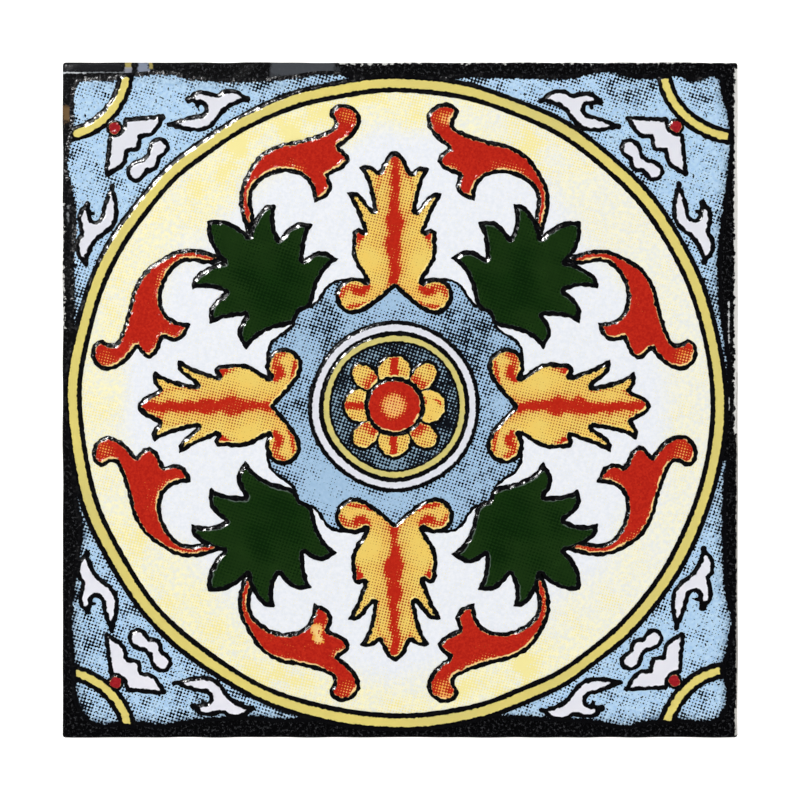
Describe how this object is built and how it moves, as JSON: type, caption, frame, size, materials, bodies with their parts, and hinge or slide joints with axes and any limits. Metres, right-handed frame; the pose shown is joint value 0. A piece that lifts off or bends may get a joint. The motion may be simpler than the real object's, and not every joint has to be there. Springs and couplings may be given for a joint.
{
  "type": "floral tile",
  "caption": "Square glazed ceramic wall tile with a raised floral medallion in coloured glazes, black outlines and a black border.",
  "frame": {"origin": "middle of the tile's back, on the plane that its back lands stand on", "axes": "+Z out of the glazed face, +X to the right and +Y up the pattern as the picture shows it"},
  "size_m": [0.1, 0.1, 0.008],
  "materials": {
    "glazed_tile": "Glossy tin-white glaze under thick red, orange, green, yellow and blue glazes, with matt black lines and border."
  },
  "bodies": {
    "root": {"tile": "glazed_tile"}
  },
  "joints": []
}
